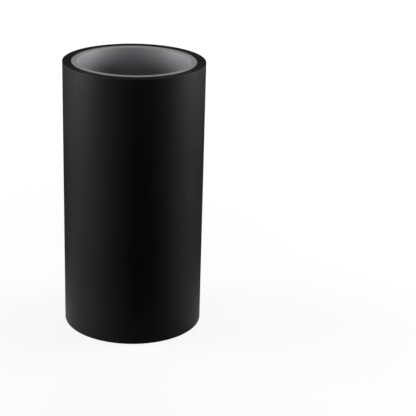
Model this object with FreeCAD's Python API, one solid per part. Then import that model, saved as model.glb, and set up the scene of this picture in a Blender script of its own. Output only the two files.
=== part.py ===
"""A roll of self-adhesive sign vinyl: a plastic core, and a two-sheet web wound round it.

The roll stands on its end. +Z runs along the core, and the origin is the centre of the
bottom end. All sizes are in millimetres and all angles in degrees.

The web is a black film with its adhesive on the inner side, and a release liner under it.
It is wound as a true spiral. Every half turn is one arc, and the arcs' centres alternate
between two points a quarter of the pitch either side of the core's axis.

The last part of the outer wrap is the tail. It bends as it is unwound, so it is cut into
short sheets that are hinged to each other along their outer edge lines.
"""

import FreeCAD
import Part

import math
import os

# ---- core ----
bore_diameter = 76.2            # the common three inch core
core_wall = 4.7
roll_width = 190.0              # the web and the core are cut off together
core_bore_chamfer = 0.9
core_outer_chamfer = 0.3

# ---- web ----
film_thickness = 0.115          # vinyl with its adhesive coat
liner_thickness = 0.075
sheet_gap = 0.005               # air between one sheet and the next
whole_wraps = 29

# ---- strip that fixes the start of the web to the core ----
starter_thickness = 0.09
starter_length = 24.0
starter_end_margin = 4.0        # bare core left at each end of the strip

# ---- tail ----
tail_root_angle = -45.0         # where the tail leaves the roll, from +X
tail_segments = 6
tail_segment_angle = 25.0
tail_clearance = 0.10           # the tail's air over the wrap below
hinge_gap = 0.01                # slit between hinged sheets, at their outer faces
flap_length = 15.0              # end of the film that peels off its liner

# ---- tab that holds the tail down ----
tab_width = 24.0
tab_thickness = 0.06
tab_anchor_length = 11.0        # stuck on the flap
tab_pull_length = 20.0          # past the edge of the tail

# ---- label in the bore ----
label_length = 52.0             # along the core
label_arc = 66.0                # round the bore
label_thickness = 0.10
label_end_distance = 12.0       # from the top end of the core
label_angle = -90.0             # the label's middle, from +X

bond_line = 0.005               # air between a stuck piece and what it is stuck to

# ---- places worked out from the sizes above ----
bore_radius = bore_diameter / 2
core_radius = bore_radius + core_wall
web_pitch = liner_thickness + film_thickness + 2 * sheet_gap
liner_inside = 0.0                                   # both from the inner face of a wrap
film_inside = liner_thickness + sheet_gap
half_wraps = 2 * whole_wraps
centre_offset = web_pitch / 4
web_start_radius = core_radius + bond_line + starter_thickness + sheet_gap + centre_offset
tail_inner_radius = web_start_radius + half_wraps * web_pitch / 2 + tail_clearance
tail_film_inner = tail_inner_radius + film_inside
tail_film_outer = tail_film_inner + film_thickness
tail_angle = tail_segments * tail_segment_angle


def turn_to_place(shape, angle):
    """Turns a shape about the core's axis."""
    shape.rotate(FreeCAD.Vector(0, 0, 0), FreeCAD.Vector(0, 0, 1), angle)
    return shape


def point_at(centre_x, radius, angle):
    """A point on a circle whose centre is on the X axis."""
    a = math.radians(angle)
    return FreeCAD.Vector(centre_x + radius * math.cos(a), radius * math.sin(a), 0)


def arc_edge(centre_x, radius, start, end):
    """One arc, drawn from the start angle to the end angle."""
    middle = point_at(centre_x, radius, (start + end) / 2)
    return Part.Arc(point_at(centre_x, radius, start), middle, point_at(centre_x, radius, end)).toShape()


def raise_outline(edges, low, high):
    """A closed outline made into a solid between two heights."""
    face = Part.Face(Part.Wire(edges))
    solid = face.extrude(FreeCAD.Vector(0, 0, high - low))
    solid.translate(FreeCAD.Vector(0, 0, low))
    return solid


def curved_sheet(centre_x, inner, outer, start, end, low, high):
    """A sheet bent round one centre."""
    edges = [
        arc_edge(centre_x, inner, start, end),
        Part.LineSegment(point_at(centre_x, inner, end), point_at(centre_x, outer, end)).toShape(),
        arc_edge(centre_x, outer, end, start),
        Part.LineSegment(point_at(centre_x, outer, start), point_at(centre_x, inner, start)).toShape(),
    ]
    return raise_outline(edges, low, high)


def wound_sheet(inside, thickness, first=0, last=half_wraps):
    """One sheet of the web, wound round the core from its first half turn to its last."""
    slit = math.degrees(hinge_gap / tail_film_outer) if first else 0

    def half_turns(radius_at_start):
        arcs = []
        for k in range(first, last):
            upper = k % 2 == 0
            centre_x = -centre_offset if upper else centre_offset
            start = 0 if upper else 180
            radius = radius_at_start + k * web_pitch / 2
            arcs.append((centre_x, radius, start + (slit if k == first else 0), start + 180))
        return arcs

    inner = half_turns(web_start_radius + inside)
    outer = half_turns(web_start_radius + inside + thickness)
    ends = [
        (point_at(inner[-1][0], inner[-1][1], 360), point_at(outer[-1][0], outer[-1][1], 360)),
        (point_at(outer[0][0], outer[0][1], slit), point_at(inner[0][0], inner[0][1], slit)),
    ]
    edges = [arc_edge(*arc) for arc in inner]
    edges.append(Part.LineSegment(*ends[0]).toShape())
    edges += [arc_edge(x, radius, end, start) for x, radius, start, end in reversed(outer)]
    edges.append(Part.LineSegment(*ends[1]).toShape())
    return turn_to_place(raise_outline(edges, 0, roll_width), tail_root_angle)


def core_tube():
    """The plastic core: a plain tube with a lead-in at each mouth of its bore."""
    half = [
        (bore_radius, core_bore_chamfer),
        (bore_radius + core_bore_chamfer, 0),
        (core_radius - core_outer_chamfer, 0),
        (core_radius, core_outer_chamfer),
    ]
    outline = half + [(r, roll_width - z) for r, z in reversed(half)]
    points = [FreeCAD.Vector(r, 0, z) for r, z in outline]
    face = Part.Face(Part.makePolygon(points + points[:1]))
    return face.revolve(FreeCAD.Vector(0, 0, 0), FreeCAD.Vector(0, 0, 1), 360)


def starter_tape():
    """The strip under the first wrap, which holds the start of the web to the core."""
    inner = core_radius + bond_line
    angle = math.degrees(starter_length / inner)
    low, high = starter_end_margin, roll_width - starter_end_margin
    strip = curved_sheet(0, inner, inner + starter_thickness, 0, angle, low, high)
    return turn_to_place(strip, tail_root_angle)


def core_label():
    """The paper label inside the bore, near the top end."""
    outer = bore_radius - bond_line
    half_angle = math.degrees(label_arc / outer) / 2
    high = roll_width - label_end_distance
    sheet = curved_sheet(0, outer - label_thickness, outer, -half_angle, half_angle, high - label_length, high)
    return turn_to_place(sheet, label_angle)


def tail_sheet(inner, thickness, start, end, low=0.0, high=roll_width):
    """A stretch of the tail between two angles counted from its root."""
    slit = math.degrees(hinge_gap / tail_film_outer)
    sheet = curved_sheet(-centre_offset, inner, inner + thickness, start + slit, end, low, high)
    return turn_to_place(sheet, tail_root_angle)


def hinge_point(angle, radius=tail_film_outer):
    """Where a hinge line of the tail stands, at an angle counted from the tail's root."""
    a = math.radians(tail_root_angle)
    p = point_at(-centre_offset, radius, angle)
    return p.x * math.cos(a) - p.y * math.sin(a), p.x * math.sin(a) + p.y * math.cos(a)


def tail_parts():
    """The tail's film and liner, sheet by sheet, with the flap that peels and the tab."""
    parts = {}
    hinges = {}
    flap_start = tail_angle - math.degrees(flap_length / tail_film_outer)
    for k in range(tail_segments):
        start = k * tail_segment_angle
        end = start + tail_segment_angle
        film_end = min(end, flap_start)
        parts[f"film_tail_{k + 1}"] = tail_sheet(tail_film_inner, film_thickness, start, film_end)
        parts[f"liner_tail_{k + 1}"] = tail_sheet(tail_inner_radius, liner_thickness, start, end)
        hinges[f"tail_{k + 1}"] = hinge_point(start)
    parts["film_flap"] = tail_sheet(tail_film_inner, film_thickness, flap_start, tail_angle)
    hinges["film_flap"] = hinge_point(flap_start)

    low, high = (roll_width - tab_width) / 2, (roll_width + tab_width) / 2
    tab_inner = tail_film_outer + bond_line
    anchor_start = tail_angle - math.degrees(tab_anchor_length / tab_inner)
    pull_end = tail_angle + math.degrees(tab_pull_length / tab_inner)
    parts["tab_anchor"] = tail_sheet(tab_inner, tab_thickness, anchor_start, tail_angle, low, high)
    parts["tab_pull"] = tail_sheet(tab_inner, tab_thickness, tail_angle, pull_end, low, high)
    hinges["tab_pull"] = hinge_point(tail_angle, tab_inner + tab_thickness)
    return parts, hinges


def main():
    os.makedirs("parts", exist_ok=True)
    parts, hinges = tail_parts()
    parts["core_tube"] = core_tube()
    parts["starter_tape"] = starter_tape()
    parts["core_label"] = core_label()
    parts["liner_wound"] = wound_sheet(liner_inside, liner_thickness)
    parts["film_wound"] = wound_sheet(film_inside, film_thickness, last=half_wraps - 2)
    parts["film_outer_wrap"] = wound_sheet(film_inside, film_thickness, first=half_wraps - 2)
    for name, shape in parts.items():
        if not shape.isValid() or shape.Volume <= 0:
            raise ValueError(f"{name} is not a valid solid")
        shape.exportStep(f"parts/{name}.step")
    for name, (x, y) in hinges.items():
        print(f"hinge line of {name}: x {x:.6f}, y {y:.6f}")
    web_length = sum(math.pi * (web_start_radius + (k + 0.5) * web_pitch / 2) for k in range(half_wraps))
    web_length += math.radians(tail_angle) * tail_film_outer
    print(f"web length {web_length / 1000:.2f} m, outer diameter {2 * tail_film_outer:.2f} mm")


main()
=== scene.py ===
import math

import bmesh
import bpy
from mathutils import Matrix, Vector


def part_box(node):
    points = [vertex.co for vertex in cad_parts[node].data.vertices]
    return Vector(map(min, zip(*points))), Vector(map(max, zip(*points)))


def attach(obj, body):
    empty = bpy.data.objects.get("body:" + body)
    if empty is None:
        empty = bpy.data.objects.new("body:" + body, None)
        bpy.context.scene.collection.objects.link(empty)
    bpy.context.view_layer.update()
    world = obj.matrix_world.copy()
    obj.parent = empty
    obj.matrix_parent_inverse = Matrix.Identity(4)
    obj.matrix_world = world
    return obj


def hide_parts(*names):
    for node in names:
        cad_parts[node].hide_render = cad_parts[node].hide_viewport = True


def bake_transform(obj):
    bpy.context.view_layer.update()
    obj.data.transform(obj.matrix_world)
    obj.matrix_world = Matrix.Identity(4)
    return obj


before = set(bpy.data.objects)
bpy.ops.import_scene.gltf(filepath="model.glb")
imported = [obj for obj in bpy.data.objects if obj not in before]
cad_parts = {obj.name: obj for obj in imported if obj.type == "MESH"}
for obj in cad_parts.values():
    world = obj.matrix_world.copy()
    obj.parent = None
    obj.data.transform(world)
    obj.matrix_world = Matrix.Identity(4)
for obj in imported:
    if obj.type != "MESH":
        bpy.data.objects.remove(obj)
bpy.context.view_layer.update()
print("frame loaded:", len(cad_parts), "nodes")

mm = 0.001


class Wire:
    # one output of a node; arithmetic on it adds Math nodes

    def __init__(self, tree, socket=None):
        self.tree = tree
        self.socket = socket

    def node(self, kind, settings=None, sockets=None, out=0):
        made = self.tree.nodes.new(kind)
        for name, value in (settings or {}).items():
            if name == "stops":
                ramp = made.color_ramp.elements
                while len(ramp) < len(value):
                    ramp.new(0.5)
                for element, (place, colour) in zip(ramp, value):
                    element.position = place
                    element.color = (*colour, 1.0)
            else:
                setattr(made, name, value)
        for name, value in (sockets or {}).items():
            if isinstance(value, Wire):
                self.tree.links.new(value.socket, made.inputs[name])
            elif value is not None:
                made.inputs[name].default_value = value
        return Wire(self.tree, made.outputs[out] if len(made.outputs) else made)

    def maths(self, operation, *values, clamp=False):
        settings = {"operation": operation, "use_clamp": clamp}
        return self.node("ShaderNodeMath", settings, dict(enumerate(values)))

    def __add__(self, other):
        return self.maths("ADD", self, other)

    def __radd__(self, other):
        return self.maths("ADD", other, self)

    def __sub__(self, other):
        return self.maths("SUBTRACT", self, other)

    def __rsub__(self, other):
        return self.maths("SUBTRACT", other, self)

    def __mul__(self, other):
        return self.maths("MULTIPLY", self, other)

    def __rmul__(self, other):
        return self.maths("MULTIPLY", other, self)

    def __truediv__(self, other):
        return self.maths("DIVIDE", self, other)

    def __rtruediv__(self, other):
        return self.maths("DIVIDE", other, self)

    def __pow__(self, other):
        return self.maths("POWER", self, other)

    def __rpow__(self, other):
        return self.maths("POWER", other, self)

    def __gt__(self, other):
        return self.maths("GREATER_THAN", self, other)

    def __lt__(self, other):
        return self.maths("LESS_THAN", self, other)

    def floor(self):
        return self.maths("FLOOR", self)

    def fraction(self):
        return self.maths("FRACT", self)

    def size(self):
        return self.maths("ABSOLUTE", self)

    def clamped(self):
        return self.maths("ADD", self, 0.0, clamp=True)

    def ease(self, low, high, fromValue=0.0, toValue=1.0):
        settings = {"interpolation_type": "SMOOTHSTEP"}
        sockets = {0: self, 1: low, 2: high, 3: fromValue, 4: toValue}
        return self.node("ShaderNodeMapRange", settings, sockets)

    def spread(self, low, high, fromValue, toValue):
        sockets = {0: self, 1: low, 2: high, 3: fromValue, 4: toValue}
        return self.node("ShaderNodeMapRange", {"clamp": True}, sockets)

    def noise(self, scale, detail=2.0, roughness=0.5, stretch=(1.0, 1.0, 1.0)):
        place = self.node("ShaderNodeMapping", {}, {"Vector": self, "Scale": stretch})
        sockets = {"Vector": place, "Scale": scale, "Detail": detail, "Roughness": roughness}
        return place.node("ShaderNodeTexNoise", {}, sockets)

    def tint(self, fromColour, toColour):  # this wire is the share of the second colour
        sockets = {0: self, 6: asColour(fromColour), 7: asColour(toColour)}
        return self.node("ShaderNodeMix", {"data_type": "RGBA"}, sockets, out=2)

    def bump(self, strength, distance, under=None):
        sockets = {"Height": self, "Strength": strength, "Distance": distance, "Normal": under}
        return self.node("ShaderNodeBump", {}, sockets)

    def parts(self):
        made = self.node("ShaderNodeSeparateXYZ", {}, {0: self}).socket.node
        return [Wire(self.tree, made.outputs[k]) for k in range(3)]


def newObject(name, data):
    made = bpy.data.objects.new(name, data)
    bpy.context.scene.collection.objects.link(made)
    return made


def smooth(mesh, angle=35.0):
    mesh.shade_smooth()
    mesh.set_sharp_from_angle(angle=math.radians(angle))


def asColour(value):
    return value if isinstance(value, Wire) else (*value, 1.0)


def newMaterial(name):
    material = bpy.data.materials.new(name)
    material.use_nodes = True
    material.node_tree.nodes.clear()
    return material, Wire(material.node_tree)


def closeMaterial(shader):
    shader.node("ShaderNodeOutputMaterial", {}, {"Surface": shader})


def principled(root, **sockets):
    names = {
        "colour": "Base Color",
        "roughness": "Roughness",
        "normal": "Normal",
        "alpha": "Alpha",
        "ior": "IOR",
    }
    values = {names[k]: asColour(v) if k == "colour" else v for k, v in sockets.items()}
    closeMaterial(root.node("ShaderNodeBsdfPrincipled", {}, values))


def webPlace(root):  # metres along the web and up it, from the sheet's own map
    return root.node("ShaderNodeUVMap", {"uv_map": "UVMap"})


def objectPlace(root):
    return root.node("ShaderNodeTexCoord", {}, {}, out=3)


# sizes that the pieces share
coreLow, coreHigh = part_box("core_tube")
roll = {
    "height": coreHigh.z - coreLow.z,
    "coreRadius": (coreHigh.x - coreLow.x) / 2,
    "boreRadius": 38.1 * mm,
    "pitch": 0.2 * mm,
    "wraps": 29,
    "bond": 0.005 * mm,
    "starter": 0.09 * mm,
    "air": 0.005 * mm,
    "tailAngle": math.radians(-45.0),
    "tailAir": 0.10 * mm,
    "bend": math.radians(25.0),
    "bends": 6,
    "rise": math.radians(24.0),  # the web lifts to the tail's air over this much of a turn
    "flap": 15.0 * mm,
}
liner = {"inside": 0.0, "thickness": 0.075 * mm, "wander": 0.10 * mm, "seed": 43.0}
film = {"inside": 0.080 * mm, "thickness": 0.115 * mm, "wander": 0.07 * mm, "seed": 3.0}
webStart = roll["coreRadius"] + roll["bond"] + roll["starter"] + roll["air"] + roll["pitch"] / 4
rootTurn = 2 * math.pi * roll["wraps"]
tailEnd = rootTurn + roll["bend"] * roll["bends"]
tailInner = webStart + roll["wraps"] * roll["pitch"] + roll["tailAir"]
filmOuter = tailInner + film["inside"] + film["thickness"]
flapTurn = tailEnd - roll["flap"] / filmOuter


def webPoint(turn, inside):  # a point of the web's middle height, at an angle turned since its start
    k = math.floor(turn / math.pi + 1e-9)
    k = min(k, 2 * roll["wraps"])
    centre = roll["pitch"] / 4 * (1 if k % 2 else -1)
    air = roll["tailAir"] if turn > rootTurn - 1e-6 else 0.0
    radius = webStart + k * roll["pitch"] / 2 + inside + air
    x, y = centre + radius * math.cos(turn), radius * math.sin(turn)
    c, s = math.cos(roll["tailAngle"]), math.sin(roll["tailAngle"])
    return Vector((x * c - y * s, x * s + y * c, roll["height"] / 2))


def vinylFace():  # the outer side of the film
    look = {
        "colour": (0.0024, 0.0024, 0.0026),
        "worn": (0.0040, 0.0040, 0.0043),
        "dust": (0.022, 0.022, 0.023),
        "roughness": 0.37,
        "grain": 2600.0,
    }
    material, root = newMaterial("vinylFace")
    place = webPlace(root)
    along, up, _ = place.parts()
    cloud = place.noise(18.0, 3.0, 0.55)
    handled = place.noise(55.0, 4.0, 0.6, (1.0, 0.55, 1.0)).ease(0.52, 0.72)
    grain = place.noise(look["grain"], 2.0, 0.6)
    bands = place.noise(60.0, 2.0, 0.5, (0.02, 1.0, 1.0))
    speck = place.noise(900.0, 1.0, 0.5).ease(0.79, 0.84)
    rim = (up - roll["height"] / 2).size().ease(roll["height"] / 2 - 0.9 * mm, roll["height"] / 2)
    colour = (cloud * 0.6 + handled * 0.3).clamped().tint(look["colour"], look["worn"])
    colour = (rim * 0.6).tint(colour, look["dust"])
    colour = (speck * 0.25).tint(colour, look["dust"])
    rough = look["roughness"] + cloud * 0.07 + handled * 0.05 + grain * 0.04 - 0.06 + rim * 0.10
    relief = bands.bump(0.10, 0.10 * mm)
    relief = (grain + speck * 0.8).bump(0.16, 0.02 * mm, relief)
    principled(root, colour=colour, roughness=rough, normal=relief, ior=1.49)
    return material


def filmEdge():  # the cut edge of the film
    look = {"colour": (0.0045, 0.0045, 0.0050), "pale": (0.012, 0.012, 0.013), "roughness": 0.60}
    material, root = newMaterial("filmEdge")
    place = objectPlace(root)
    cut = place.noise(1400.0, 3.0, 0.6)
    patch = place.noise(45.0, 2.0, 0.5)
    colour = (cut.ease(0.45, 0.8) * 0.5 + patch * 0.3).clamped().tint(look["colour"], look["pale"])
    relief = cut.bump(0.3, 0.03 * mm)
    principled(root, colour=colour, roughness=look["roughness"] + patch * 0.1, normal=relief, ior=1.49)
    return material


def adhesiveFace():  # the clear adhesive on the inner side of the film
    look = {"colour": (0.009, 0.009, 0.010), "haze": (0.022, 0.022, 0.023), "roughness": 0.20}
    material, root = newMaterial("adhesiveFace")
    place = webPlace(root)
    ripple = place.noise(420.0, 3.0, 0.55)
    haze = place.noise(30.0, 3.0, 0.6)
    colour = haze.ease(0.4, 0.75).tint(look["colour"], look["haze"])
    rough = look["roughness"] + haze * 0.18
    principled(root, colour=colour, roughness=rough, normal=ripple.bump(0.25, 0.05 * mm), ior=1.47)
    return material


def linerFace():  # the smoke grey release film
    look = {"colour": (0.050, 0.051, 0.055), "pale": (0.075, 0.076, 0.080), "roughness": 0.27}
    material, root = newMaterial("linerFace")
    place = webPlace(root)
    cloud = place.noise(14.0, 3.0, 0.5)
    drawn = place.noise(300.0, 2.0, 0.5, (0.05, 1.0, 1.0))
    rough = look["roughness"] + cloud * 0.10 + drawn * 0.05
    colour = (cloud * 0.7 + drawn * 0.3).clamped().tint(look["colour"], look["pale"])
    principled(root, colour=colour, roughness=rough, normal=drawn.bump(0.12, 0.03 * mm), ior=1.5)
    return material


def linerEdge():
    look = {"colour": (0.013, 0.013, 0.014), "pale": (0.032, 0.032, 0.034), "roughness": 0.55}
    material, root = newMaterial("linerEdge")
    place = objectPlace(root)
    cut = place.noise(1700.0, 3.0, 0.6)
    patch = place.noise(38.0, 2.0, 0.5)
    colour = (cut * 0.4 + patch * 0.4).clamped().tint(look["colour"], look["pale"])
    rough = look["roughness"] + cut * 0.1
    principled(root, colour=colour, roughness=rough, normal=cut.bump(0.3, 0.03 * mm))
    return material


def corePlastic():  # white extruded tube, sawn to length
    look = {
        "colour": (0.43, 0.422, 0.418),
        # painted shade: the bore wall's colour, darker and bluer than the tube's
        "bore": (0.315, 0.322, 0.338),
        "dull": (0.30, 0.295, 0.29),
        "scuff": (0.23, 0.225, 0.22),
        "roughness": 0.32,
    }
    material, root = newMaterial("corePlastic")
    place = objectPlace(root)
    x, y, z = place.parts()
    angle = root.maths("ARCTAN2", y, x)
    radius = (x * x + y * y) ** 0.5
    around = angle * roll["boreRadius"]
    aroundAxis = root.node("ShaderNodeCombineXYZ", {}, {0: around, 1: radius, 2: z})
    die = aroundAxis.noise(900.0, 2.0, 0.5, (1.0, 0.0, 0.012))  # lines drawn along the tube
    scratch = aroundAxis.noise(1100.0, 2.0, 0.6, (1.0, 0.0, 0.06)).ease(0.70, 0.80)
    saw = aroundAxis.noise(2600.0, 2.0, 0.6, (0.03, 1.0, 0.0))  # marks across the sawn ends
    cloud = place.noise(26.0, 3.0, 0.55)
    fromEnd = roll["height"] / 2 - (z - roll["height"] / 2).size()
    onEnd = fromEnd < 0.06 * mm
    handled = (1.0 - fromEnd.ease(0.0, 12.0 * mm)) * cloud.ease(0.45, 0.75)
    # painted shade: the bore wall and the inner part of its chamfers are painted darker and bluer than
    # the rest of the tube, for the shade inside it
    inShadedBore = 1.0 - radius.ease(roll["boreRadius"] + 0.1 * mm, roll["boreRadius"] + 0.5 * mm)
    colour = inShadedBore.tint(look["colour"], look["bore"])
    colour = (cloud * 0.30).tint(colour, look["dull"])
    colour = (scratch * 0.22 + handled * 0.30).clamped().tint(colour, look["scuff"])
    rough = look["roughness"] + cloud * 0.10 + scratch * 0.15 + onEnd * 0.18
    relief = die.bump(0.22, 0.05 * mm)
    relief = (saw * onEnd).bump(0.35, 0.05 * mm, relief)
    principled(root, colour=colour, roughness=rough, normal=relief, ior=1.5)
    return material


def labelPaper(spec):  # printed paper; its map runs round the bore, then along it, in metres
    look = {
        "paper": (0.70, 0.70, 0.69),
        "fibre": (0.62, 0.62, 0.61),
        "ink": (0.035, 0.035, 0.038),
        "panel": (0.30, 0.30, 0.305),
        "roughness": 0.62,
    }
    material, root = newMaterial("labelPaper")
    place = webPlace(root)
    across, along, _ = place.parts()
    wide, tall = spec["arc"], spec["length"]
    layout = {
        "margin": 2.2 * mm,
        "line": 0.35 * mm,
        "split": 0.60,  # share of the width left of the panel
        "header": 14.0 * mm,
        "rowPitch": 3.1 * mm,
        "dash": 1.15 * mm,
    }

    def band(value, low, high):
        return (value > low) * (value < high)

    def box(left, right, low, high):
        return band(across, left, right) * band(along, low, high)

    def frameLine(left, right, low, high, line):
        inner = box(left + line, right - line, low + line, high - line)
        return box(left, right, low, high) * (1.0 - inner)

    margin, line, rowPitch = layout["margin"], layout["line"], layout["rowPitch"]
    split = margin + layout["split"] * (wide - 2 * margin)
    border = frameLine(margin, wide - margin, margin, tall - margin, line)
    panelLow = tall - margin - layout["header"]
    panel = box(split, wide - margin, panelLow, tall - margin)
    divider = band(across, split, split + line) * band(along, margin, tall - margin)
    divider = divider + box(margin, split, panelLow, panelLow + line)
    row = (along - margin) / rowPitch
    rowInside = band(row.fraction(), 0.36, 0.66)
    cell = (across / layout["dash"]).floor()
    key = root.node("ShaderNodeCombineXYZ", {}, {0: cell, 1: row.floor()})
    dash = root.node("ShaderNodeTexWhiteNoise", {"noise_dimensions": "2D"}, {"Vector": key}) > 0.30
    bodyArea = box(margin + 1.6 * mm, split - 1.6 * mm, margin + 0.9 * mm, panelLow - 0.9 * mm)
    sideArea = box(split + 1.8 * mm, wide - margin - 1.8 * mm, margin + 0.9 * mm, panelLow - 0.9 * mm)
    tableLine = band(row.fraction(), 0.0, 0.07) * box(split, wide - margin, margin, panelLow)
    barLeft = margin + 2.0 * mm
    header = box(barLeft, split - 9.0 * mm, panelLow + 3.2 * mm, panelLow + 5.6 * mm)
    header = header + box(barLeft, split - 16.0 * mm, panelLow + 7.6 * mm, panelLow + 8.8 * mm)
    small = rowInside * dash * (bodyArea + sideArea)
    fibre = place.noise(700.0, 4.0, 0.65)
    wear = place.noise(130.0, 3.0, 0.6).ease(0.35, 0.5)
    ink = ((border + divider + tableLine + header + small) * wear).clamped() * 0.88
    paper = fibre.tint(look["paper"], look["fibre"])
    colour = (panel * 0.85).tint(paper, look["panel"])
    colour = ink.tint(colour, look["ink"])
    rough = look["roughness"] - ink * 0.12 + fibre * 0.1
    principled(root, colour=colour, roughness=rough, normal=fibre.bump(0.2, 0.03 * mm), ior=1.45)
    return material


def starterGlue():
    look = {"colour": (0.42, 0.38, 0.29), "dark": (0.30, 0.27, 0.20), "roughness": 0.4}
    material, root = newMaterial("starterGlue")
    place = objectPlace(root)
    cloth = place.noise(600.0, 3.0, 0.6)
    patch = place.noise(60.0, 2.0, 0.5)
    colour = (cloth * 0.5 + patch * 0.4).clamped().tint(look["colour"], look["dark"])
    rough = look["roughness"] + patch * 0.2
    principled(root, colour=colour, roughness=rough, normal=cloth.bump(0.2, 0.05 * mm))
    return material


def frostedTape():
    look = {"colour": (0.36, 0.36, 0.35), "pale": (0.46, 0.46, 0.45), "roughness": 0.48, "alpha": 0.42}
    material, root = newMaterial("frostedTape")
    place = webPlace(root)
    grain = place.noise(1500.0, 3.0, 0.6)
    bubble = place.noise(260.0, 2.0, 0.5).ease(0.58, 0.66)
    colour = grain.tint(look["colour"], look["pale"])
    rough = look["roughness"] + grain * 0.14
    alpha = look["alpha"] + bubble * 0.14 + grain * 0.08
    relief = (grain * 0.6 + bubble * 0.5).bump(0.18, 0.03 * mm)
    principled(root, colour=colour, roughness=rough, normal=relief, alpha=alpha, ior=1.47)
    return material


vinyl, vinylCut, adhesive = vinylFace(), filmEdge(), adhesiveFace()
release, releaseCut = linerFace(), linerEdge()
plastic, tape, glue = corePlastic(), frostedTape(), starterGlue()
print("materials made")


def sheetTree():
    tree = bpy.data.node_groups.new("webSheet", "GeometryNodeTree")
    inputs = [
        ("Coarse Steps", "NodeSocketInt"),
        ("Fine Steps", "NodeSocketInt"),
        ("From Turn", "NodeSocketFloat"),
        ("Fine From Turn", "NodeSocketFloat"),
        ("To Turn", "NodeSocketFloat"),
        ("Web Start Radius", "NodeSocketFloat"),
        ("Pitch", "NodeSocketFloat"),
        ("Half Wraps", "NodeSocketInt"),
        ("Sheet Middle", "NodeSocketFloat"),
        ("Thickness", "NodeSocketFloat"),
        ("Height", "NodeSocketFloat"),
        ("Tail Angle", "NodeSocketFloat"),
        ("Tail Air", "NodeSocketFloat"),
        ("Rise From Turn", "NodeSocketFloat"),
        ("Edge Wander", "NodeSocketFloat"),
        ("Seed", "NodeSocketFloat"),
        ("Face", "NodeSocketMaterial"),
        ("Back", "NodeSocketMaterial"),
        ("Edge", "NodeSocketMaterial"),
    ]
    for name, kind in inputs:
        tree.interface.new_socket(name=name, in_out="INPUT", socket_type=kind)
    tree.interface.new_socket(name="Sheet", in_out="OUTPUT", socket_type="NodeSocketGeometry")
    root = Wire(tree)
    entry = root.node("NodeGroupInput").socket.node
    value = {name: Wire(tree, entry.outputs[name]) for name, _ in inputs}

    steps = value["Coarse Steps"] + value["Fine Steps"]
    line = root.node("GeometryNodeCurvePrimitiveLine")
    line = root.node("GeometryNodeResampleCurve", {"mode": "COUNT"},
                     {"Curve": line, "Count": steps + 1.0})
    index = root.node("GeometryNodeInputIndex")
    coarse = root.maths("MINIMUM", index, value["Coarse Steps"])
    fine = root.maths("MAXIMUM", index - value["Coarse Steps"], 0.0)
    coarseStep = (value["Fine From Turn"] - value["From Turn"]) / value["Coarse Steps"]
    fineStep = (value["To Turn"] - value["Fine From Turn"]) / value["Fine Steps"]
    turn = value["From Turn"] + coarse * coarseStep + fine * fineStep

    half = root.maths("MINIMUM", (turn / math.pi + 1e-5).floor(), value["Half Wraps"])
    side = root.maths("MODULO", half, 2.0) * 2.0 - 1.0
    rise = turn.ease(value["Rise From Turn"], value["Half Wraps"] * math.pi)
    radius = value["Web Start Radius"] + half * value["Pitch"] / 2.0 + value["Sheet Middle"]
    radius = radius + rise * value["Tail Air"]
    x = side * value["Pitch"] / 4.0 + radius * root.maths("COSINE", turn)
    y = radius * root.maths("SINE", turn)
    spot = root.node("ShaderNodeCombineXYZ", {}, {0: x, 1: y, 2: value["Height"] / 2.0})
    spot = root.node("ShaderNodeVectorRotate", {"rotation_type": "Z_AXIS"},
                     {"Vector": spot, "Angle": value["Tail Angle"]})
    path = root.node("GeometryNodeSetPosition", {}, {"Geometry": line, "Position": spot})
    path = root.node("GeometryNodeSetCurveNormal", {"mode": "Z_UP"}, {"Curve": path})
    length = turn * value["Web Start Radius"] + turn * turn * value["Pitch"] / (4.0 * math.pi)
    path = root.node("GeometryNodeStoreNamedAttribute", {"data_type": "FLOAT", "domain": "POINT"},
                     {"Geometry": path, "Name": "alongWeb", "Value": length})

    profile = root.node("GeometryNodeCurvePrimitiveQuadrilateral", {},
                        {"Width": value["Thickness"], "Height": value["Height"]})
    sheet = root.node("GeometryNodeCurveToMesh", {},
                      {"Curve": path, "Profile Curve": profile, "Fill Caps": True})

    along = root.node("GeometryNodeInputNamedAttribute", {"data_type": "FLOAT"}, {"Name": "alongWeb"})
    position = root.node("GeometryNodeInputPosition")
    up = position.parts()[2]
    top = up > value["Height"] / 2.0
    wave = root.node("ShaderNodeTexNoise", {"noise_dimensions": "1D"},
                     {"W": along * 9.0 + value["Seed"], "Scale": 1.0, "Detail": 2.0})
    inward = (1.0 - top * 2.0) * wave * value["Edge Wander"]
    shift = root.node("ShaderNodeCombineXYZ", {}, {2: inward})
    sheet = root.node("GeometryNodeSetPosition", {}, {"Geometry": sheet, "Offset": shift})
    webMap = root.node("ShaderNodeCombineXYZ", {}, {0: along, 1: up})
    sheet = root.node("GeometryNodeStoreNamedAttribute", {"data_type": "FLOAT2", "domain": "CORNER"},
                      {"Geometry": sheet, "Name": "UVMap", "Value": webMap})

    normal = root.node("GeometryNodeInputNormal")
    flat = root.node("ShaderNodeVectorMath", {"operation": "MULTIPLY"},
                     {0: position, 1: (1.0, 1.0, 0.0)})
    outward = root.node("ShaderNodeVectorMath", {"operation": "NORMALIZE"}, {0: flat})
    facing = root.node("ShaderNodeVectorMath", {"operation": "DOT_PRODUCT"},
                       {0: normal, 1: outward}, out=1)
    sheet = root.node("GeometryNodeRealizeInstances", {}, {"Geometry": sheet})
    sheet = root.node("GeometryNodeSetMaterial", {}, {"Geometry": sheet, "Material": value["Edge"]})
    sheet = root.node("GeometryNodeSetMaterial", {},
                      {"Geometry": sheet, "Selection": facing > 0.5, "Material": value["Face"]})
    sheet = root.node("GeometryNodeSetMaterial", {},
                      {"Geometry": sheet, "Selection": facing < -0.5, "Material": value["Back"]})
    root.node("NodeGroupOutput", {}, {"Sheet": sheet})
    return tree


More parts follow.
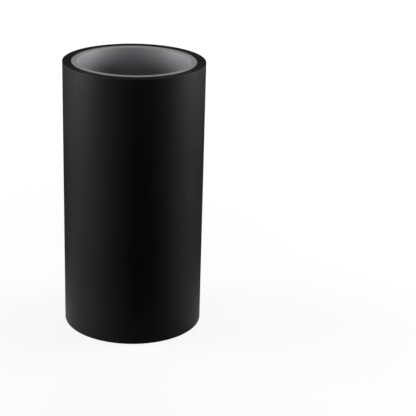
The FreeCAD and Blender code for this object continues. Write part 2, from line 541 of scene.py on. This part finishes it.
def runTree(name, tree, values):  # a plain mesh object from a Geometry Nodes tree
    holder = newObject(name, bpy.data.meshes.new(name))
    modifier = holder.modifiers.new(tree.name, "NODES")
    modifier.node_group = tree
    for item in tree.interface.items_tree:
        if item.in_out == "INPUT":
            modifier[item.identifier] = values[item.name]
    graph = bpy.context.evaluated_depsgraph_get()
    made = bpy.data.meshes.new_from_object(holder.evaluated_get(graph))
    holder.modifiers.remove(modifier)
    holder.data = made
    made.name = name
    smooth(made)
    return holder


webTree = sheetTree()


def webSheet(name, sheet, fromTurn, toTurn, coarseTo=None):
    grid = {"coarse": math.radians(2.5), "fine": math.radians(0.5), "fewest": 8}
    coarseTo = fromTurn if coarseTo is None else coarseTo
    isFilm = sheet is film
    values = {
        "Coarse Steps": round((coarseTo - fromTurn) / grid["coarse"]),
        "Fine Steps": max(grid["fewest"], round((toTurn - coarseTo) / grid["fine"])),
        "From Turn": fromTurn,
        "Fine From Turn": coarseTo,
        "To Turn": toTurn,
        "Web Start Radius": webStart,
        "Pitch": roll["pitch"],
        "Half Wraps": 2 * roll["wraps"],
        "Sheet Middle": sheet["inside"] + sheet["thickness"] / 2,
        "Thickness": sheet["thickness"],
        "Height": roll["height"],
        "Tail Angle": roll["tailAngle"],
        "Tail Air": roll["tailAir"],
        "Rise From Turn": rootTurn - roll["rise"],
        "Edge Wander": sheet["wander"],
        "Seed": sheet["seed"],
        "Face": vinyl if isFilm else release,
        "Back": adhesive if isFilm else release,
        "Edge": vinylCut if isFilm else releaseCut,
    }
    made = runTree(name, webTree, values)
    return made


fineEnd = {"film": math.radians(5.0), "liner": math.radians(30.0)}  # the last of a wound sheet
lastWrap = rootTurn - 2 * math.pi

filmWound = webSheet("filmWound", film, 0.0, lastWrap, coarseTo=lastWrap - fineEnd["film"])
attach(filmWound, "roll")
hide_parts("film_wound")
filmOuterWrap = webSheet("filmOuterWrap", film, lastWrap, rootTurn)
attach(filmOuterWrap, "roll")
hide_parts("film_outer_wrap")
linerWound = webSheet("linerWound", liner, 0.0, rootTurn, coarseTo=rootTurn - fineEnd["liner"])
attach(linerWound, "roll")
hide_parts("liner_wound")
print("wound web made")


def tailTurns():  # where each tail sheet starts and ends, with one bend line on its way
    middle = roll["bend"] / 2
    spans = [(rootTurn, rootTurn + middle)]
    for k in range(1, roll["bends"] - 1):
        start = rootTurn + k * roll["bend"] - middle
        spans.append((start, start + roll["bend"]))
    spans.append((spans[-1][1], flapTurn))
    return spans


def bendOver(piece, fromTurn, toTurn):
    start, end = webPoint(fromTurn, film["inside"]), webPoint(toTurn, film["inside"])
    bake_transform(piece)


spans = tailTurns()
for k, (fromTurn, toTurn) in enumerate(spans, start=1):
    before = "roll" if k == 1 else f"tail_{k - 1}"
    filmPiece = webSheet(f"filmTail{k}", film, fromTurn, toTurn)
    bendOver(filmPiece, fromTurn, toTurn)
    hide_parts(f"film_tail_{k}")
    linerEnd = tailEnd if k == roll["bends"] else toTurn
    linerPiece = webSheet(f"linerTail{k}", liner, fromTurn, linerEnd)
    bendOver(linerPiece, fromTurn, toTurn)
    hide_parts(f"liner_tail_{k}")

foldArc = math.radians(6.0)  # the arc passed to bendOver for the flap and the tab
filmFlap = webSheet("filmFlap", film, flapTurn, tailEnd)
bendOver(filmFlap, flapTurn, flapTurn + foldArc)
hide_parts("film_flap")
print("tail made")


def curvedPlate(name, rows, centre, inner, outer, angleStep, materials):
    # rows of (height, first angle, last angle); the plate is closed all round
    columns = max(2, round((rows[0][2] - rows[0][1]) / angleStep))
    mesh = bmesh.new()
    uvs = mesh.loops.layers.uv.new("UVMap")
    walls = []
    for radius in (outer, inner):
        wall = []
        for height, first, last in rows:
            line = []
            for c in range(columns + 1):
                a = first + (last - first) * c / columns
                spot = centre + Vector((radius * math.cos(a), radius * math.sin(a), height))
                line.append((mesh.verts.new(spot), (a * outer, height)))
            wall.append(line)
        walls.append(wall)

    def quad(corners, index):
        face = mesh.faces.new([corner[0] for corner in corners])
        face.smooth = True
        face.material_index = index
        for loop, corner in zip(face.loops, corners):
            loop[uvs].uv = corner[1]

    last = len(rows) - 1
    for r in range(last):
        for c in range(columns):
            a, b = walls[0][r], walls[0][r + 1]
            quad([a[c], a[c + 1], b[c + 1], b[c]], 0)
            a, b = walls[1][r], walls[1][r + 1]
            quad([a[c], b[c], b[c + 1], a[c + 1]], 1)
        for c, turned in ((0, False), (columns, True)):
            corners = [walls[0][r][c], walls[0][r + 1][c], walls[1][r + 1][c], walls[1][r][c]]
            quad(corners[::-1] if turned else corners, 1)
    for r, turned in ((0, True), (last, False)):
        for c in range(columns):
            corners = [walls[0][r][c], walls[0][r][c + 1], walls[1][r][c + 1], walls[1][r][c]]
            quad(corners[::-1] if turned else corners, 1)
    bmesh.ops.recalc_face_normals(mesh, faces=mesh.faces)
    data = bpy.data.meshes.new(name)
    mesh.to_mesh(data)
    mesh.free()
    for material in materials:
        data.materials.append(material)
    data.set_sharp_from_angle(angle=math.radians(35.0))
    return newObject(name, data)


tab = {
    "width": 24.0 * mm,
    "thickness": 0.06 * mm,
    "anchor": 11.0 * mm,
    "pull": 20.0 * mm,
    "tooth": 0.45 * mm,
    "toothPitch": 0.96 * mm,
    "step": math.radians(1.0),
}
tabInner = filmOuter + roll["bond"]
rootWay = Vector((math.cos(roll["tailAngle"]), math.sin(roll["tailAngle"]), 0.0))
tailCentre = rootWay * (-roll["pitch"] / 4)
tailEdgeAngle = roll["tailAngle"] + roll["bend"] * roll["bends"]


def tabPiece(name, firstAngle, lastAngle, toothedEnd):
    rows = []
    low = (roll["height"] - tab["width"]) / 2
    count = 2 * round(tab["width"] / tab["toothPitch"])
    for r in range(count + 1):  # the tape was torn over a toothed blade
        notch = tab["tooth"] / tabInner * (r % 2)
        first = firstAngle + (notch if toothedEnd < 0 else 0)
        last = lastAngle - (notch if toothedEnd > 0 else 0)
        rows.append((low + tab["width"] * r / count, first, last))
    outer = tabInner + tab["thickness"]
    made = curvedPlate(name, rows, tailCentre, tabInner, outer, tab["step"], [tape, tape])
    return made


tabAnchor = tabPiece("tabAnchor", tailEdgeAngle - tab["anchor"] / tabInner, tailEdgeAngle, -1)
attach(tabAnchor, "flap")
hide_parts("tab_anchor")
tabPull = tabPiece("tabPull", tailEdgeAngle, tailEdgeAngle + tab["pull"] / tabInner, 1)
bendOver(tabPull, tailEnd, tailEnd + foldArc)
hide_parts("tab_pull")
print("tab made")

label = {
    "arc": 66.0 * mm,
    "length": 52.0 * mm,
    "fromTop": 12.0 * mm,
    "thickness": 0.10 * mm,
    "corner": 2.5 * mm,
    "cornerRows": 8,
    "rows": 12,
    "step": math.radians(1.5),
    "middle": math.radians(-90.0),
}


def labelPiece():
    outer = roll["boreRadius"] - roll["bond"]
    inner = outer - label["thickness"]
    high = roll["height"] - label["fromTop"]
    low = high - label["length"]
    fine, plain = label["cornerRows"], label["rows"]
    rounded = [label["corner"] * (1 - math.cos(math.pi / 2 * t / fine)) for t in range(fine + 1)]
    middle = [label["length"] * k / plain for k in range(2, plain - 1)]
    rows = []
    for h in sorted(rounded + middle + [label["length"] - h for h in rounded]):
        near = max(0.0, label["corner"] - min(h, label["length"] - h))
        inset = label["corner"] - math.sqrt(max(0.0, label["corner"] ** 2 - near ** 2))
        half = (label["arc"] / 2 - inset) / outer
        rows.append((low + h, label["middle"] - half, label["middle"] + half))
    made = curvedPlate("coreLabel", rows, Vector((0, 0, 0)), inner, outer, label["step"], [])
    for item in made.data.uv_layers["UVMap"].data:  # from the label's own corner
        u = (item.uv[0] / outer - label["middle"]) * outer + label["arc"] / 2
        item.uv = (u, item.uv[1] - low)
    made.data.materials.append(labelPaper(label))
    for face in made.data.polygons:
        face.material_index = 0
    return made


coreLabel = labelPiece()
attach(coreLabel, "roll")
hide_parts("core_label")


def roundedLoop(points, radius, steps):
    # a closed outline with each corner taken round
    out = []
    for k, corner in enumerate(points):
        before, after = points[k - 1], points[(k + 1) % len(points)]
        toBefore, toAfter = (before - corner).normalized(), (after - corner).normalized()
        for t in range(steps + 1):
            f = t / steps
            a = corner + toBefore * radius * (1 - f)
            b = corner + toAfter * radius * f
            out.append(a.lerp(b, f))
    return out


def corePiece():
    core = {
        "steps": 240,
        "boreChamfer": 0.9 * mm,
        "outerChamfer": 0.3 * mm,
        "rounding": 0.14 * mm,
        "roundSteps": 3,
    }
    b, o = core["boreChamfer"], core["outerChamfer"]
    r, outer, top = roll["boreRadius"], roll["coreRadius"], roll["height"]
    corners = [(r, b), (r + b, 0), (outer - o, 0), (outer, o)]
    corners = corners + [(x, top - z) for x, z in reversed(corners)]
    loop = roundedLoop([Vector((x, 0, z)) for x, z in corners], core["rounding"], core["roundSteps"])
    verts, faces = [], []
    count = len(loop)
    for k in range(core["steps"]):
        turn = Matrix.Rotation(2 * math.pi * k / core["steps"], 3, "Z")
        verts += [turn @ p for p in loop]
        after = (k + 1) % core["steps"]
        for p in range(count):
            q = (p + 1) % count
            faces.append((k * count + p, after * count + p, after * count + q, k * count + q))
    data = bpy.data.meshes.new("coreTube")
    data.from_pydata(verts, [], faces)
    solid = bmesh.new()
    solid.from_mesh(data)
    bmesh.ops.recalc_face_normals(solid, faces=solid.faces)
    solid.to_mesh(data)
    solid.free()
    data.materials.append(plastic)
    smooth(data, 50.0)
    made = newObject("coreTube", data)
    return made


coreTube = corePiece()
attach(coreTube, "roll")
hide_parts("core_tube")

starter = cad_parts["starter_tape"]
starter.data.materials.clear()
starter.data.materials.append(glue)
print("core, label and starter tape made")


def rayKinds(root):  # is it a camera ray, and is it a glossy one
    path = root.node("ShaderNodeLightPath").socket.node
    return [Wire(root.tree, path.outputs[kind]) for kind in ("Is Camera Ray", "Is Glossy Ray")]


def studioFloor():
    look = {
        "radius": 7.0,
        "near": 0.86,
        "far": 1.0,
        "glowFrom": 0.12,
        "glowTo": 0.9,
        "grey": 0.13,
        "plain": 0.16,
    }
    # what the gloss of the film sees of the floor: painted reflection, a glow that only glossy rays
    # see, in soft bands to the left and right and faint rings near and far, which paints the film's
    # highlights
    gloss = {
        "underfoot": (0.055, 0.16, 0.07),  # from a distance, to a distance, strength
        "beyond": (0.40, 0.75, 0.07),
        "left": 0.27,
        "right": 0.18,
        "sideBlend": 0.35,
        "leftRise": (-1.22, -0.46),  # these three run from -1 in front to 1 behind
        "rightRise": (-0.98, -0.20),
        "backFade": (-0.05, 0.95),
        "back": 0.06,
        "middle": 0.001,  # keeps the sum finite under the roll
    }
    material, root = newMaterial("studioFloor")
    place = objectPlace(root)
    x, y, z = place.parts()
    distance = (x * x + y * y) ** 0.5
    glow = distance.ease(look["glowFrom"], look["glowTo"], look["near"], look["far"])
    seen = root.node("ShaderNodeEmission", {}, {"Color": glow, "Strength": 1.0})
    shaded = root.node("ShaderNodeBsdfDiffuse", {}, {"Color": (look["grey"],) * 3 + (1,)})
    seen = root.node("ShaderNodeAddShader", {}, {0: seen, 1: shaded})
    behind = y / (distance + gloss["middle"])
    onRight = (x / (distance + gloss["middle"])).ease(-gloss["sideBlend"], gloss["sideBlend"])
    ends = zip(gloss["leftRise"], gloss["rightRise"])
    riseFrom, riseTo = [onRight.spread(0, 1, onLeft, right) for onLeft, right in ends]
    sideGlow = behind.ease(riseFrom, riseTo) * behind.ease(*gloss["backFade"], 1.0, gloss["back"])
    sideGlow = sideGlow * onRight.spread(0, 1, gloss["left"], gloss["right"])
    (nearFrom, nearTo, near), (farFrom, farTo, far) = gloss["underfoot"], gloss["beyond"]
    nearFarGlow = distance.ease(nearFrom, nearTo, near, 0.0) + distance.ease(farFrom, farTo, 0.0, far)
    # painted reflection: the glow that glossy rays see in the floor, which the film shows as its
    # highlights
    mirrored = root.node("ShaderNodeEmission", {}, {"Color": sideGlow + nearFarGlow, "Strength": 1.0})
    isCamera, isGlossy = rayKinds(root)
    plain = root.node("ShaderNodeBsdfDiffuse", {}, {"Color": (look["plain"],) * 3 + (1,)})
    body = root.node("ShaderNodeMixShader", {}, {0: isGlossy, 1: plain, 2: mirrored})
    closeMaterial(root.node("ShaderNodeMixShader", {}, {0: isCamera, 1: body, 2: seen}))
    mesh = bmesh.new()
    bmesh.ops.create_circle(mesh, cap_ends=True, segments=96, radius=look["radius"])
    data = bpy.data.meshes.new("studioFloor")
    mesh.to_mesh(data)
    mesh.free()
    data.materials.append(material)
    newObject("studioFloor", data)


def studioWorld():
    look = {"seen": 1.0, "fill": 0.04, "mirrored": 0.01}
    world = bpy.data.worlds.new("studioWorld")
    bpy.context.scene.world = world
    world.use_nodes = True
    world.node_tree.nodes.clear()
    root = Wire(world.node_tree)
    isCamera, isGlossy = rayKinds(root)
    grey = isGlossy.spread(0.0, 1.0, look["fill"], look["mirrored"])
    grey = root.maths("MAXIMUM", grey, isCamera * look["seen"])
    light = root.node("ShaderNodeBackground", {}, {"Color": grey, "Strength": 1.0})
    root.node("ShaderNodeOutputWorld", {}, {"Surface": light})


def softbox(name, place, aim, size, power):
    data = bpy.data.lights.new(name, "AREA")
    data.shape = "RECTANGLE"
    data.size, data.size_y = size
    data.energy = power
    made = newObject(name, data)
    made.location = place
    made.rotation_euler = (Vector(aim) - Vector(place)).to_track_quat("-Z", "Y").to_euler()
    made.visible_camera = False
    return made


studioFloor()
studioWorld()
lamps = {  # place, height aimed at, size and watts
    "softLeft": ((-0.80, 0.06, 0.34), 0.14, (0.6, 0.32), 7.2),
    "softRight": ((0.80, 0.16, 0.34), 0.14, (0.6, 0.32), 7.8),
    "softFront": ((0.08, -0.95, 0.295), 0.18, (0.5, 0.2), 2.2),
    "softBack": ((0.12, 0.74, 0.80), 0.16, (0.6, 0.3), 2.4),
}
for name, (place, aimHeight, size, power) in lamps.items():
    lamp = softbox(name, place, (0, 0, aimHeight), size, power)
    if name in ("softFront", "softBack"):  # they open up the bore and leave no streak on the film
        lamp.visible_glossy = False


def studioCamera():
    view = {
        "rollRadius": 48.85 * mm,
        "away": 17.5502,
        "height": 8.3706,
        "pitch": 0.36245,
        "pan": 0.061815,
        "tilt": 0.028844,
        "lens": 111.78,
        "sensor": 36.0,
        "clip": 0.05,
    }
    pan, pitch, tilt = view["pan"], view["pitch"], view["tilt"]
    level = Vector((math.sin(pan), math.cos(pan), 0))
    forward = level * math.cos(pitch) - Vector((0, 0, math.sin(pitch)))
    right = Vector((math.cos(pan), -math.sin(pan), 0))
    up = right.cross(forward)
    c, s = math.cos(tilt), math.sin(tilt)
    right, up = right * c + up * s, up * c - right * s
    data = bpy.data.cameras.new("studioCamera")
    data.sensor_width = view["sensor"]
    data.lens = view["lens"]
    data.clip_start = view["clip"]
    made = newObject("studioCamera", data)
    place = Vector((0, -view["away"], view["height"])) * view["rollRadius"]
    turn = Matrix((right, up, -forward)).transposed().to_4x4()
    made.matrix_world = Matrix.Translation(place) @ turn
    bpy.context.scene.camera = made


studioCamera()
bpy.context.scene.view_settings.view_transform = "Standard"
print("studio set")
